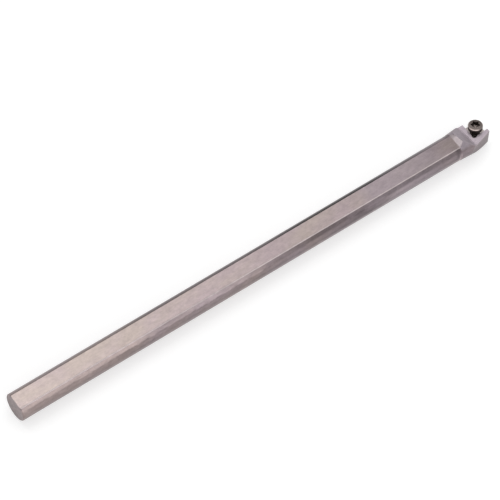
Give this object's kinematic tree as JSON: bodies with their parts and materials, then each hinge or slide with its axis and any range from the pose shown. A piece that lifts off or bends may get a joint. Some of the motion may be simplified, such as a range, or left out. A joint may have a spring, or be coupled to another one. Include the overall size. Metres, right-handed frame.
{
  "type": "indexable boring bar",
  "caption": "Slim round boring bar with a flat along the shank and a stepped head with an empty rhombic insert seat, its countersunk star-recess clamping screw standing proud.",
  "frame": {"origin": "on the shank's axis, at the tail face", "axes": "+X along the shank towards the head, +Y towards the side of the cutting nose, +Z along the normal of the clamping flat"},
  "size_m": [0.0996, 0.0055, 0.0052],
  "materials": {
    "bar_steel": "ground steel with a satin grey finish",
    "screw_steel": "dark oiled steel"
  },
  "bodies": {
    "root": {"bar_body": "bar_steel", "clamp_screw": "screw_steel"}
  },
  "joints": []
}
